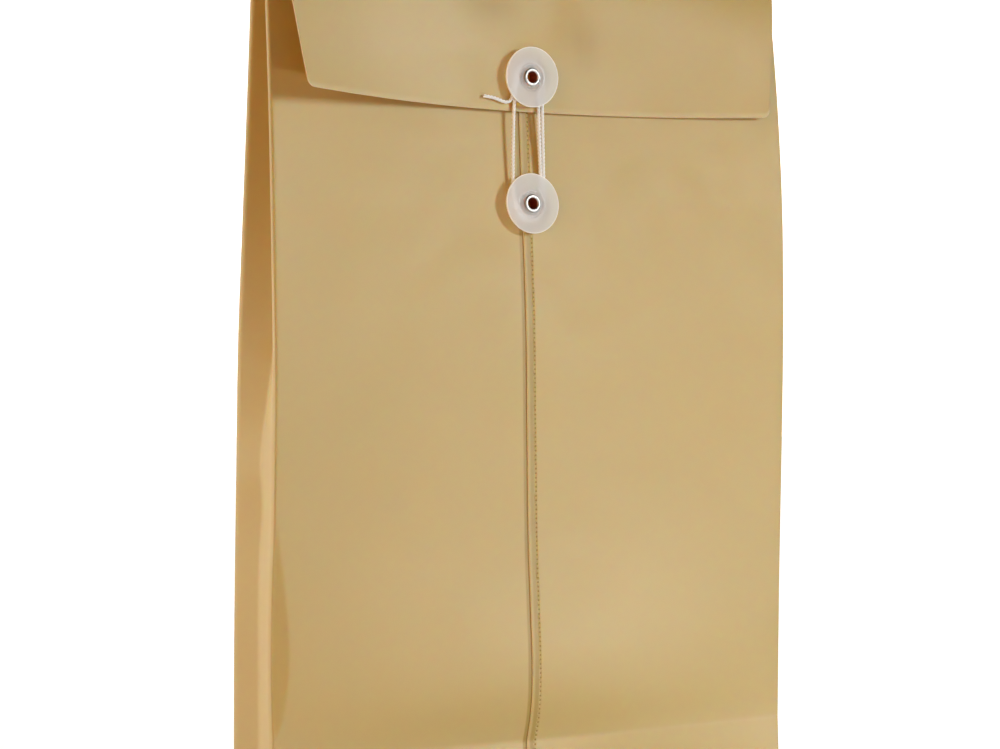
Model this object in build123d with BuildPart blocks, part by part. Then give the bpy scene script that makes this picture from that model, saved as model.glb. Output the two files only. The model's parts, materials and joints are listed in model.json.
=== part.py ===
"""String tie envelope: a gusseted block-bottom document pouch of folded plastic sheet.

Millimetres. Z is up, the front faces -Y and +X is to the viewer's right.
The origin is the middle of the base, on the floor.
"""

import os
from math import asin, atan, cos, degrees, hypot, pi, radians, sin, sqrt

from build123d import *

# Sheet and body
sheet = 0.5
panel_width = 240.0
base_depth = 42.0
hinge_height = 346.0
lip_drop = 8.0
lean_length = 133.0
mouth_depth = 15.0
mouth_offset = 4.0
front_shoulder_tuck = 1.0
back_shoulder_tuck = 4.5
crease_height = 20.0
crease_dent = 1.5
crease_slope_share = 0.03
gusset_slack = 0.4
profile_shares = (0.0, 0.15, 0.35, 0.6, 0.8, 1.0)
gusset_shares = (0.0, 0.06, 0.19, 0.33, 0.47, 0.6, 0.73, 0.87, 1.0)

# Lap seam of the front and folded bottom
lap_land = 0.9
lap_width = 10.0
bottom_front_reach = 25.0
bottom_inset = 0.6
tuck_length = 19.0
tuck_miter = 6.0

# Fits
layer_gap = 0.05
fold_gap = 0.3
running_gap = 0.05

# Closure flap
flap_drop = 68.0
flap_corner = 4.0
flap_taper = 7.5
flap_side_inset = 0.6
flap_bow = 3.0
flap_left_flare = 15.0
flap_right_flare = 3.5
flap_crown_overhang = 12.0
flap_crown_rise = 14.0
flap_hold = 30.0
flap_margin = 6.0
crown_flare_share = 0.2
hold_flare_share = 0.55
flap_section_shares = (-1.0, -0.7, -0.35, 0.0, 0.35, 0.7, 1.0)

# Buttons
button_x = -5.0
upper_button_rise = 14.0
button_spacing = 52.0
disc_radius = 12.4
disc_thickness = 0.9
disc_dish = 0.6
disc_edge = 0.3
hub_wall = 1.9
hub_clearance = 0.1
eyelet_bore = 2.15
eyelet_wall = 0.35
eyelet_flange = 1.2
eyelet_head = 0.8
eyelet_edge = 0.3
clench_flange = 1.3
clench = 0.7
washer_flange = 4.0
washer_thickness = 0.6

# String
string_diameter = 1.3
string_room = 1.1
hub_slack = 0.2
turn_gap = 0.75
tail_run = 6.0
tail_bend = 2.8
tail_turn = 106.0
tail_end = 9.0
knot_length = 3.2
knot_width = 1.9
gap_probe_step = 0.5

quarter_turn = 90
half_width = panel_width / 2
half_base = base_depth / 2
foot = sheet + fold_gap
lip_height = hinge_height - lip_drop
shoulder_height = lip_height - lean_length
front_shoulder = half_base - front_shoulder_tuck
back_shoulder = half_base - back_shoulder_tuck
front_lip = mouth_offset + mouth_depth / 2
back_lip = mouth_depth / 2 - mouth_offset
front_lean = (front_shoulder - front_lip) / lean_length
back_lean = (back_shoulder - back_lip) / lean_length
flap_edge_height = hinge_height - flap_drop
upper_button_height = flap_edge_height + upper_button_rise
lower_button_height = upper_button_height - button_spacing
hub_height = string_diameter + string_room
string_radius = string_diameter / 2
barrel_radius = eyelet_bore + eyelet_wall
hole_radius = barrel_radius + hub_clearance
hub_radius = barrel_radius + hub_wall
eyelet_head_radius = barrel_radius + eyelet_flange
clench_radius = barrel_radius + clench_flange
washer_radius = barrel_radius + washer_flange
flap_standoff = layer_gap + washer_thickness + layer_gap + clench
flap_crown_reach = front_lip + flap_crown_overhang
lap_gap = sheet + layer_gap
lap_edge = button_x - hole_radius - lap_land


def blend(z, start, end):
    """Cubic between two (height, reach, slope) stations."""
    run = end[0] - start[0]
    t = (z - start[0]) / run
    rest = 1 - t
    return (
        (1 + 2 * t) * rest**2 * start[1]
        + t * rest**2 * run * start[2]
        + t**2 * (1 + 2 * rest) * end[1]
        - t**2 * rest * run * end[2]
    )


def front_face(z):
    """Y of the outer face of the front."""
    crease = (crease_height, half_base - crease_dent, crease_slope_share)
    shoulder = (shoulder_height, front_shoulder, -front_lean)
    if z >= shoulder_height:
        return -front_shoulder + front_lean * (z - shoulder_height)
    if z >= crease_height:
        return -blend(z, crease, shoulder)
    return -half_base + crease_dent * (z - foot) / (crease_height - foot)


def back_face(z):
    """Y of the outer face of the back."""
    if z >= shoulder_height:
        return back_shoulder - back_lean * (z - shoulder_height)
    return blend(z, (foot, half_base, 0), (shoulder_height, back_shoulder, -back_lean))


def between(low, high, shares):
    return [low + (high - low) * share for share in shares]


def front_path(shift):
    """Outer side of the front, moved inwards by shift."""
    heights = between(crease_height, shoulder_height, profile_shares)
    return [(front_face(z) + shift, z) for z in heights]


hinge_y = back_face(hinge_height) - sheet / 2
front_in = lap_gap + sheet


def front_half(x_start, x_end, shift, label):
    """One half of the front, with a rounded foot that it swings on."""
    outer = front_path(shift)
    inner = front_path(shift + sheet)
    foot_y = front_face(foot) + shift
    lip_y = front_face(lip_height) + shift
    round_centre = foot + sheet / 2
    with BuildPart() as made:
        with BuildSketch(Plane.YZ.offset(x_start)):
            with BuildLine():
                Line((foot_y, round_centre), outer[0])
                Spline(*outer)
                Polyline(outer[-1], (lip_y, lip_height), (lip_y + sheet, lip_height), inner[-1])
                Spline(*inner[::-1])
                Line(inner[0], (foot_y + sheet, round_centre))
                ThreePointArc(
                    (foot_y + sheet, round_centre),
                    (foot_y + sheet / 2, foot),
                    (foot_y, round_centre),
                )
            make_face()
        extrude(amount=x_end - x_start)
        with BuildSketch(lower_plane):
            Circle(hole_radius)
        extrude(amount=base_depth / 2, both=True, mode=Mode.SUBTRACT)
    made.part.label = label
    return made


def button_plane(face, z):
    """Plane on a sheet's outer face at the buttons, with Z out of it."""
    rise = washer_radius
    lean = atan((face(z + rise) - face(z - rise)) / (2 * rise))
    normal = (0, -cos(lean), sin(lean))
    return Plane(origin=(button_x, face(z), z), x_dir=(1, 0, 0), z_dir=normal)


lower_plane = button_plane(front_face, lower_button_height)


with BuildPart() as back_panel:
    heights = between(foot, shoulder_height, profile_shares)
    outer = [(back_face(z), z) for z in heights]
    inner = [(y - sheet, z) for y, z in outer]
    with BuildSketch(Plane.YZ.offset(-half_width)):
        with BuildLine():
            Spline(*outer)
            Line(outer[-1], (hinge_y + sheet / 2, hinge_height))
            ThreePointArc(
                (hinge_y + sheet / 2, hinge_height),
                (hinge_y, hinge_height + sheet / 2),
                (hinge_y - sheet / 2, hinge_height),
            )
            Line((hinge_y - sheet / 2, hinge_height), inner[-1])
            Spline(*inner[::-1])
            Line(inner[0], outer[0])
        make_face()
    extrude(amount=panel_width)
back_panel.part.label = "back_panel"


tuck_top = sheet + layer_gap + sheet + layer_gap + sheet
gusset_foot = tuck_top + layer_gap
gusset_heights = between(gusset_foot, lip_height, gusset_shares)


def gusset_edges(z):
    """Y of a gusset's back and front edges at height z."""
    return back_face(z) - sheet - fold_gap, front_face(z) + front_in + fold_gap


widest = max(back_edge - front_edge for back_edge, front_edge in map(gusset_edges, gusset_heights))
gusset_half = widest / 2 + gusset_slack


def gusset_part(side, front, label):
    """Half of a folded gusset, from a panel's edge to the middle crease."""
    with BuildPart() as made:
        for z in gusset_heights:
            back_edge, front_edge = gusset_edges(z)
            middle = (back_edge + front_edge) / 2
            span = (back_edge - front_edge) / 2
            valley = sqrt(gusset_half**2 - span**2)
            edge = front_edge if front else back_edge
            wall = sheet * gusset_half / span
            crest = side * half_width
            crease = side * (half_width - valley)
            with BuildSketch(Plane.XY.offset(z)):
                with BuildLine():
                    Polyline(
                        (crest, edge),
                        (crease, middle),
                        (crease - side * wall, middle),
                        (crest - side * wall, edge),
                        close=True,
                    )
                make_face()
        loft(ruled=True)
    made.part.label = label
    return made


left_gusset_back = gusset_part(-1, False, "left_gusset_back")
left_gusset_front = gusset_part(-1, True, "left_gusset_front")
right_gusset_back = gusset_part(1, False, "right_gusset_back")
right_gusset_front = gusset_part(1, True, "right_gusset_front")

front_panel_left = front_half(-half_width, lap_edge + lap_width, lap_gap, "front_panel_left")
front_panel_right = front_half(lap_edge, half_width, 0, "front_panel_right")


with BuildPart() as bottom_back_flap:
    with BuildSketch():
        Rectangle(panel_width - 2 * bottom_inset, base_depth)
    extrude(amount=sheet)
bottom_back_flap.part.label = "bottom_back_flap"

bottom_front_start = -half_base + front_in + fold_gap

with BuildPart() as bottom_front_flap:
    with BuildSketch(Plane.XY.offset(sheet + layer_gap)):
        with Locations((0, bottom_front_start)):
            Rectangle(
                panel_width - 2 * bottom_inset,
                bottom_front_reach,
                align=(Align.CENTER, Align.MIN),
            )
    extrude(amount=sheet)
bottom_front_flap.part.label = "bottom_front_flap"


def tuck(side, label):
    """Side flap of the bottom, with mitred free corners."""
    start = side * half_width
    end = side * (half_width - tuck_length)
    low = bottom_front_start
    high = half_base - sheet - fold_gap
    with BuildPart() as made:
        with BuildSketch(Plane.XY.offset(tuck_top - sheet)):
            with BuildLine():
                Polyline(
                    (start, low),
                    (end, low + tuck_miter),
                    (end, high - tuck_miter),
                    (start, high),
                    close=True,
                )
            make_face()
        extrude(amount=sheet)
    made.part.label = label
    return made


bottom_left_tuck = tuck(-1, "bottom_left_tuck")
bottom_right_tuck = tuck(1, "bottom_right_tuck")


def flare(x):
    """How much further the flap's edge stands off at x than at the tie."""
    if x < button_x:
        return flap_left_flare * ((button_x - x) / (button_x + half_width)) ** 2
    return flap_right_flare * ((x - button_x) / (half_width - button_x)) ** 2


def flap_controls(x):
    """Control points of the flap's middle line at x, from crease to edge."""
    stand = flap_standoff + sheet / 2
    end_z = flap_edge_height - flap_margin
    hold_z = end_z + flap_hold + flap_margin
    hold_y = front_face(hold_z) - stand - hold_flare_share * flare(x)
    return [
        (hinge_y - sheet / 2 - fold_gap, hinge_height),
        (
            -flap_crown_reach - crown_flare_share * flare(x),
            hinge_height + flap_crown_rise,
        ),
        (hold_y - sheet, hold_z),
        (front_face(end_z) - stand - flare(x), end_z),
    ]


def offset_controls(controls, amount):
    """Control points of a side line, amount outside the middle line."""
    found = []
    for i, (y, z) in enumerate(controls):
        before = controls[max(i - 1, 0)]
        after = controls[min(i + 1, len(controls) - 1)]
        run_y = after[0] - before[0]
        run_z = after[1] - before[1]
        length = hypot(run_y, run_z)
        found.append((y + amount * run_z / length, z - amount * run_y / length))
    return found


def flap_face(z):
    """Y of the flap's outer face at the buttons and height z."""
    controls = offset_controls(flap_controls(button_x), sheet / 2)
    low_share, high_share = 0.5, 1.0
    while high_share - low_share > layer_gap / flap_drop**2:
        t = (low_share + high_share) / 2
        shares = ((1 - t) ** 3, 3 * t * (1 - t) ** 2, 3 * t**2 * (1 - t), t**3)
        at_y = sum(share * point[0] for share, point in zip(shares, controls))
        at_z = sum(share * point[1] for share, point in zip(shares, controls))
        if at_z > z:
            low_share = t
        else:
            high_share = t
    return at_y


upper_plane = button_plane(flap_face, upper_button_height)

with BuildPart() as flap:
    for share in flap_section_shares:
        x = share * half_width
        outer = offset_controls(flap_controls(x), sheet / 2)
        inner = offset_controls(flap_controls(x), -sheet / 2)
        with BuildSketch(Plane.YZ.offset(x)):
            with BuildLine():
                Bezier(*outer)
                Line(outer[-1], inner[-1])
                Bezier(*inner[::-1])
                Line(inner[0], outer[0])
            make_face()
    loft()
    top = hinge_height + flap_crown_rise
    side = half_width - flap_side_inset
    corner = side - flap_taper
    with BuildSketch(Plane.XZ):
        with BuildLine():
            Polyline(
                (-corner, flap_edge_height + flap_bow),
                (-side, hinge_height),
                (-side, top),
                (side, top),
                (side, hinge_height),
                (corner, flap_edge_height + flap_bow),
            )
            ThreePointArc(
                (-corner, flap_edge_height + flap_bow),
                (0, flap_edge_height),
                (corner, flap_edge_height + flap_bow),
            )
        face = make_face()
        fillet(face.vertices().sort_by(Axis.Z)[:2], radius=flap_corner)
    extrude(amount=panel_width, both=True, mode=Mode.INTERSECT)
    with BuildSketch(upper_plane):
        Circle(hole_radius)
    extrude(amount=base_depth / 2, both=True, mode=Mode.SUBTRACT)
flap.part.label = "flap"


def turned(plane, outline, rounded, radius, label):
    """A piece turned about a button's axis from (radius, height) points."""
    section = Plane(origin=plane.origin, x_dir=plane.x_dir, z_dir=plane.x_dir.cross(plane.z_dir))
    with BuildPart() as made:
        with BuildSketch(section):
            with BuildLine():
                Polyline(*outline, close=True)
            face = make_face()
            corners = [section.from_local_coords(outline[i]) for i in rounded]
            picked = [
                min(face.vertices(), key=lambda v: (Vector(v) - Vector(at)).length)
                for at in corners
            ]
            fillet(picked, radius=radius)
        revolve(axis=Axis(plane.origin, plane.z_dir))
    made.part.label = label
    return made


def button_disc(plane, label):
    bore = barrel_radius + running_gap
    outline = [
        (bore, hub_clearance),
        (hub_radius, hub_clearance),
        (hub_radius, hub_height),
        (disc_radius, hub_height + disc_dish),
        (disc_radius, hub_height + disc_dish + disc_thickness),
        (hub_radius, hub_height + disc_thickness),
        (bore, hub_height + disc_thickness),
    ]
    return turned(plane, outline, (3, 4), disc_edge, label)


def eyelet(plane, grip, label):
    head = hub_height + disc_thickness + running_gap
    back = -grip - layer_gap - washer_thickness - layer_gap
    outline = [
        (eyelet_bore, back - clench),
        (clench_radius, back - clench),
        (clench_radius, back),
        (barrel_radius, back),
        (barrel_radius, head),
        (eyelet_head_radius, head),
        (eyelet_head_radius, head + eyelet_head),
        (eyelet_bore, head + eyelet_head),
    ]
    return turned(plane, outline, (0, 1, 6, 7), eyelet_edge, label)


def backing_washer(plane, grip, label):
    with BuildPart() as made:
        with BuildSketch(plane.offset(-grip - layer_gap - washer_thickness)):
            Circle(washer_radius)
            Circle(hole_radius, mode=Mode.SUBTRACT)
        extrude(amount=washer_thickness)
    made.part.label = label
    return made


lower_grip = sheet + lap_gap
upper_button_disc = button_disc(upper_plane, "upper_button_disc")
lower_button_disc = button_disc(lower_plane, "lower_button_disc")
upper_eyelet = eyelet(upper_plane, sheet, "upper_eyelet")
lower_eyelet = eyelet(lower_plane, lower_grip, "lower_eyelet")
upper_backing_washer = backing_washer(upper_plane, sheet, "upper_backing_washer")
lower_backing_washer = backing_washer(lower_plane, lower_grip, "lower_backing_washer")


# The string lies in one plane that passes under both discs
lower_mid = lower_plane.offset(hub_height / 2).origin
upper_mid = upper_plane.offset(hub_height / 2).origin
winding_up = upper_mid - lower_mid
winding_plane = Plane(
    origin=lower_mid,
    x_dir=(1, 0, 0),
    z_dir=Vector(1, 0, 0).cross(winding_up),
)
spacing = winding_up.length
inner_turn = hub_radius + hub_slack + string_radius
outer_turn = inner_turn + string_diameter + turn_gap
cross_tilt = asin((outer_turn - inner_turn) / spacing)
tilt = degrees(cross_tilt)
upper_centre = (0, spacing)

with BuildPart() as tie_string:
    with BuildLine(winding_plane) as route:
        # Tied round the lower hub, then up on the right and over the upper hub
        CenterArc((0, 0), inner_turn, quarter_turn, 3 * quarter_turn)
        Line((inner_turn, 0), (inner_turn, spacing))
        CenterArc(upper_centre, inner_turn, 0, 2 * quarter_turn - tilt)

        # Down on the left and round both hubs once more, outside the first turn
        leave = (-inner_turn * cos(cross_tilt), spacing + inner_turn * sin(cross_tilt))
        arrive = (-outer_turn * cos(cross_tilt), outer_turn * sin(cross_tilt))
        Line(leave, arrive)
        CenterArc((0, 0), outer_turn, 2 * quarter_turn - tilt, 2 * quarter_turn + tilt)
        Line((outer_turn, 0), (outer_turn, spacing))
        CenterArc(upper_centre, outer_turn, 0, 2 * quarter_turn)

        # The tail hangs a little and bends away to the left
        bend_from = (-outer_turn, spacing - tail_run)
        Line((-outer_turn, spacing), bend_from)
        JernArc(bend_from, (0, -1), tail_bend, -tail_turn)
        turn = radians(tail_turn)
        tail_x = -outer_turn - tail_bend * (1 - cos(turn))
        tail_y = spacing - tail_run - tail_bend * sin(turn)
        tail_tip = (tail_x - tail_end * sin(turn), tail_y - tail_end * cos(turn))
        Line((tail_x, tail_y), tail_tip)
    start = Plane(origin=route.wire() @ 0, z_dir=route.wire() % 0)
    with BuildSketch(start):
        Circle(string_radius)
    sweep(path=route.wire())
tie_string.part.label = "tie_string"

with BuildPart() as string_knot:
    knot_at = winding_plane.from_local_coords((knot_length / 2 + layer_gap, inner_turn))
    knot_plane = Plane(origin=knot_at, x_dir=winding_plane.x_dir, z_dir=winding_plane.z_dir)
    with BuildSketch(knot_plane):
        with BuildLine():
            Line((-knot_length / 2, 0), (knot_length / 2, 0))
            EllipticalCenterArc((0, 0), knot_length / 2, knot_width / 2, 0, arc_size=2 * quarter_turn)
        make_face()
    revolve(axis=Axis(knot_plane.origin, knot_plane.x_dir))
string_knot.part.label = "string_knot"


pieces = [
    back_panel,
    left_gusset_back,
    left_gusset_front,
    right_gusset_back,
    right_gusset_front,
    front_panel_left,
    front_panel_right,
    bottom_back_flap,
    bottom_front_flap,
    bottom_left_tuck,
    bottom_right_tuck,
    flap,
    upper_button_disc,
    lower_button_disc,
    upper_eyelet,
    lower_eyelet,
    upper_backing_washer,
    lower_backing_washer,
    tie_string,
    string_knot,
]

os.makedirs("parts", exist_ok=True)
for piece in pieces:
    export_step(piece.part, f"parts/{piece.part.label}.step")


def least_gap(wire):
    """Least gap between runs of the string that aren't neighbours."""
    count = int(wire.length / gap_probe_step)
    points = [wire @ (i / count) for i in range(count + 1)]
    apart = int(pi * string_diameter / gap_probe_step) + 1
    return min(
        (points[i] - points[j]).length
        for i in range(count + 1)
        for j in range(i + apart, count + 1)
    ) - string_diameter


print("hinge y", round(hinge_y, 4), "z", hinge_height)
print("foot hinge y", round(front_face(foot) + sheet / 2, 4), "z", foot + sheet / 2)
print("upper axis", [round(v, 6) for v in upper_plane.z_dir])
print("lower axis", [round(v, 6) for v in lower_plane.z_dir])
print("upper button", [round(v, 4) for v in upper_plane.origin])
print("lower button", [round(v, 4) for v in lower_plane.origin])
print("string length", round(route.wire().length, 1))
print("string radii", inner_turn, outer_turn, tail_bend, "least gap", round(least_gap(route.wire()), 3))
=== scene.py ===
"""Looks of the string tie envelope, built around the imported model.

Shapes are worked out in millimetres and turned into metres when a mesh is made.
Z is up, the front faces -Y and +X is to the right seen from the front.
"""

import json
import math

import bmesh
import bpy
import numpy as np
from mathutils import Matrix, Vector
from mathutils.bvhtree import BVHTree


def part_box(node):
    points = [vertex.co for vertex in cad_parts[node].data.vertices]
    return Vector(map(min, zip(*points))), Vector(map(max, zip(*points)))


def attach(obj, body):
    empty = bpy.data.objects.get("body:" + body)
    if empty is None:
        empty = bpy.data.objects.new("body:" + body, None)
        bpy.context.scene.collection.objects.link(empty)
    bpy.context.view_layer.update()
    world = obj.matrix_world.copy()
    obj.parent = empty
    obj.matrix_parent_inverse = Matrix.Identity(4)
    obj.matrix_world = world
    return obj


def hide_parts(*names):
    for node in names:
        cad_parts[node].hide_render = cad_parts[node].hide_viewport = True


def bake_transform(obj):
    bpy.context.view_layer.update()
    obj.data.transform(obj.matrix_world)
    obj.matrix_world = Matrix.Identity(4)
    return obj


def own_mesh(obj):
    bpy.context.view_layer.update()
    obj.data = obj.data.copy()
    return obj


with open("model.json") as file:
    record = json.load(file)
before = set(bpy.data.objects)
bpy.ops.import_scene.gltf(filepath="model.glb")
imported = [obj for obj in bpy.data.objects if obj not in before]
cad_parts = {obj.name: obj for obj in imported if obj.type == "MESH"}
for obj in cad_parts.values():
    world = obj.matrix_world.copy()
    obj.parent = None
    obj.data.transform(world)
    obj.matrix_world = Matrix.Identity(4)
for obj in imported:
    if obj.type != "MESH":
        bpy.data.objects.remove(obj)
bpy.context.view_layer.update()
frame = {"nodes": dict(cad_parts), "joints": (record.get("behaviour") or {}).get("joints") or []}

MM = 0.001

# Sheet
sheet = 0.5
rim_round = 0.12
edge_roll = 0.8
roll_steps = 7
lap_gap = 0.55
row_step = 4.0
column_step = 5.0
fold_pale = 0.1
# Whitening of the sheet at folds, also used for painted light on the gussets and the flap, as share and white
whitening_and_painted_light = 0.14
white_of_creases_and_painted_light = (1.0, 0.96, 0.9)
# Tint of the sheet where it was pressed, also used for painted shade beside the lap and on the flap
press_and_shade_tint = (0.74, 0.68, 0.44)

# Faint unevenness of the sheet, as (height, length along x, length along z, start)
ripples = [(0.16, 23, 61, 0), (0.12, -47, 31, 1.3), (0.07, 13, -19, 0.4)]
back_ripple_shift = 31.0

# Distances from the sheet's edges in which the unevenness dies out
calm_top = 60.0
calm_foot = 40.0
calm_side = 20.0

# Front, as (height, reach out of the middle plane) at its left edge, middle and right edge
left_edge = [
    (0.8, 19.6),
    (28, 19.0),
    (83, 19.0),
    (122, 20.0),
    (170, 20.9),
    (218, 19.3),
    (273, 16.6),
    (338, 11.5),
]
middle = [
    (0.8, 21.4),
    (20, 24.2),
    (36, 26.2),
    (52, 26.2),
    (75, 24.6),
    (98, 23.0),
    (140, 22.0),
    (190, 20.8),
    (225, 18.72),
    (240, 17.76),
    (338, 11.5),
]
right_edge = [
    (0.8, 20.9),
    (20, 20.4),
    (72, 20.9),
    (116, 22.2),
    (160, 23.6),
    (200, 24.2),
    (246, 23.2),
    (290, 19.6),
    (338, 13.4),
]
right_flatness = 1.6
crease_height = 20.6
crease_tilt = 0.011
crease_depth = 2.8
crease_left_depth = 1.4
crease_right_depth = 0.4
crease_right_run = 30.0
crease_spread = 12.0
crease_round = 0.45
# Paler band below the bottom crease, and a pale line along it
crease_band_pale = 0.35
crease_band_reach = 8.0
crease_line = 0.2
crease_line_width = 0.9
fine_rows_top = 34.0
fine_row_step = 0.9

# Crescent dent beside the left edge
dent_low = 28.0
dent_high = 116.0
dent_skew = 0.69
dent_width = 6.4
dent_slope = 0.38
dent_soft = 0.4
dent_columns = 12.0
dent_column_step = 0.8

# Lap seam, with mesh columns as places from the lap's edge and from the weld
lap_shift = 0.7
lap_width = 9.3
# Painted shadow on the sheet beside the lap's edge, where the lapped sheet stands off it
lap_shade_width = 1.5
lap_shade = 0.9
lap_columns = (1.0, 0.0, -1.3, -2.0, -3.5)
weld_inset = 3.7
weld_pitch = 1.85
weld_radius = 0.44
weld_depth = 0.2
weld_low = 4.0
weld_columns = (-3.0, -2.0, -0.9, 0.9, 2.0)
weld_clear = 4.0
press_start = 1.3
press_end = 3.3
press_share = 0.75

# Back, as (height, how far its side edges bend forwards)
back_edge_bend = [
    (0.8, 1.0),
    (60, 1.4),
    (100, 2.4),
    (140, 3.0),
    (180, 2.4),
    (240, 2.2),
    (300, 1.7),
    (346, 0.6),
]
bend_reach = 14.0
back_probe_x = 10.1
back_probe_below = 0.05

# Gussets, with the fold of the left one as (height, depth)
gusset_half = 20.4
gusset_layers_below = 3
valley = [(0.8, 2.6), (50, 3.1), (104, 3.1), (120, 3.9), (134, 2.6), (158, 5.4), (181, 8.9)]
least_valley = 3.0
gusset_round = 2.4
gusset_steps = 11
gusset_run_steps = 10
gusset_fold_pale = 0.2
gusset_fold_width = 2.5
# Painted light: the gussets are drawn paler below a height, fading out higher up, where the fold opens and
# more light reaches them
gusset_painted_light = 0.3
gusset_painted_light_from = 270.0
gusset_painted_light_to = 200.0

# Flap
flap_corner = 2.8
flap_corner_steps = 9
flap_taper = 7.5
flap_side_inset = 0.6
flap_bow = 3.0
flap_standoff = 1.4
flap_left_flare = 22.0
flap_right_flare = 8.5
flap_crown_reach = 23.5
flap_crown_rise = 14.0
flap_hold = 30.0
flap_margin = 6.0
crown_flare_share = 0.12
hold_flare_share = 0.42
flap_rows = 44
flap_over_share = 0.4
flap_search_from = 0.45
flap_search_steps = 40
flap_calm_start = 4.0
flap_calm_end = 6.0
flap_calm_least = 0.3
flap_ripple_scale = (1.4, 1.6)
flap_ripple_shift = 40.0
trough_place = 2.0
trough_depth = 1.8
trough_left = 30.0
trough_right = 15.0
trough_low = 292.0
trough_high = 318.0
# Painted light: the flap's left end is drawn paler, fading in towards the left, where it turns away from the
# key light
flap_painted_light = 0.62
flap_painted_light_from = -15.0
flap_painted_light_to = -75.0
# Painted highlight along the flap's cut edges
flap_edge_painted_highlight = 0.9

# Painted shade in soft spots of the flap, where shallow dents would shade it, as (x, height, half width, half
# height, share)
flap_shade_spots = [(23.0, 308.0, 6.0, 11.0, 0.4), (-22.0, 321.0, 13.0, 7.0, 0.45)]

# Hinge bead
bead_radius = 0.5
bead_sides = 14
bead_points = 49

# Any direction that no tube starts along
tube_side = (0.3, 0.9, 0.2)

# Buttons
disc_radius = 12.4
disc_thickness = 0.9
disc_dish = 0.6
disc_edge = 0.35
# Band round the disc's edge that takes a painted highlight
rim_highlight_band = 0.9
disc_collar = ((1.6, 0.1), (0.9, 0.3), (0.2, 0.0))
hub_height = 2.4
hub_radius = 4.4
hub_clearance = 0.1
running_gap = 0.05
layer_gap = 0.05
barrel_radius = 2.5
eyelet_bore = 2.15
eyelet_head_radius = 3.7
eyelet_head = 0.8
clench_radius = 3.8
clench = 0.7
eyelet_round = 0.76
eyelet_round_steps = 8
bore_band = 0.2
hole_radius = 2.6
hole_sides = 48
washer_radius = 6.5
washer_thickness = 0.6
washer_round = 0.2
turn_steps = 96

# String
string_diameter = 1.5
inner_turn = 5.2
outer_turn = 6.8
arc_steps = 6
edge_run = 8.0
left_run = (-7.4, -8.2)
inner_right_run = (5.3, 4.0)
outer_right_run = (6.7, 6.0)
tail = [
    (-7.6, -3.9, 0),
    (-8.1, -9.1, 0),
    (-10.5, -10.9, 0.1),
    (-14.0, -10.1, 0.3),
    (-17.4, -9.0, 0.4),
    (-21.9, -8.7, 0.5),
]
strand_count = 3
strand_pitch = 4.6
strand_sides = 8
strand_step = 0.3
strand_sharp_angle = 80
knot_strand = 0.45
knot_points = 91
knot_loops = (3, 2)
knot_loop_size = (2.0, 1.0, 0.9)

# Stage
floor_half = 6000.0
floor_squares = 8
floor_glow = 0.5
wall_radius = 5900.0
wall_height = 11000.0
wall_sides = 64
wall_glow = 1.0

# Camera, fitted to the photograph
camera_place = (-531.6, -906.7, 170.2)
camera_yaw = 30.0
camera_lens = 90.6
camera_sensor = 36.0
camera_reach = 100.0

# Light: the fill casts no shadow and stands in for light that shines through the sheet
sky_front = 0.07
sky_back = 1.3
sky_turn = (0.1, 0.5)
key_from = (0.54, -0.8, 0.168)
key_strength = 1.89
key_softness = 16.0
key_colour = (0.715, 0.945, 1.0)
fill_strength = 0.48
fill_colour = (1.0, 0.25, 0.0)
rim_from = (-0.6, 0.75, 0.2)
rim_strength = 0.25
rim_softness = 40.0
warm_from = (-0.93, -0.33, 0.1)
warm_colour = (1.0, 0.63, 0.25)
warm_strength = 2.15
warm_softness = 60.0
strip_place = (0.16, -0.46, 0.05)
strip_aim = (0.0, 0.0, 0.06)
strip_size = (0.8, 0.06)
strip_power = 1.25
strip_colour = (0.88, 0.93, 1.0)
card_place = (-0.42, 0.0, 0.11)
card_aim = (-0.12, 0.0, 0.12)
card_size = (0.25, 0.2)
card_colour = (0.75, 0.92, 1.0)
card_power = 0.022
card_spread = 24.0


def joint(name):
    return next(j for j in frame["joints"] if j["name"] == name)


def in_mm(point):
    return np.array(point, float) / MM


front_low, front_high = (in_mm(corner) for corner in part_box("front_panel_right"))
half_width = in_mm(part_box("back_panel")[1])[0]
hinge = in_mm(joint("flap_hinge")["pos_m"])
lip_height = front_high[2]
foot = front_low[2]
lap_edge = front_low[0] + lap_shift
flap_edge_height = in_mm(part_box("flap")[0])[2]


def button(name):
    """Middle and axis of a button on its sheet's outer face, in mm."""
    spin = joint(name)
    return in_mm(spin["pos_m"]), np.array(spin["axis"], float)


upper_at, upper_axis = button("upper_disc_spin")
lower_at, lower_axis = button("lower_disc_spin")


# Materials


def new_material(name):
    made = bpy.data.materials.new(name)
    made.use_nodes = True
    return made, made.node_tree, made.node_tree.nodes["Principled BSDF"]


def set_inputs(node, **values):
    """Sets inputs of a node, named with underscores for spaces."""
    for key, value in values.items():
        node.inputs[key.replace("_", " ")].default_value = value


def link_inputs(tree, node, **sockets):
    """Links sockets to inputs of a node, named with underscores for spaces."""
    for key, socket in sockets.items():
        tree.links.new(socket, node.inputs[key.replace("_", " ")])


def add_node(tree, kind, **values):
    made = tree.nodes.new(kind)
    set_inputs(made, **values)
    return made


def attribute(tree, name):
    made = tree.nodes.new("ShaderNodeAttribute")
    made.attribute_name = name
    return made.outputs["Fac"]


def noise(tree, scale, detail):
    place = tree.nodes.new("ShaderNodeTexCoord")
    made = add_node(tree, "ShaderNodeTexNoise", Scale=scale, Detail=detail)
    tree.links.new(place.outputs["Object"], made.inputs["Vector"])
    return made.outputs["Fac"]


def remap(tree, value, low, high):
    made = add_node(tree, "ShaderNodeMapRange", To_Min=low, To_Max=high)
    tree.links.new(value, made.inputs["Value"])
    return made.outputs["Result"]


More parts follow.
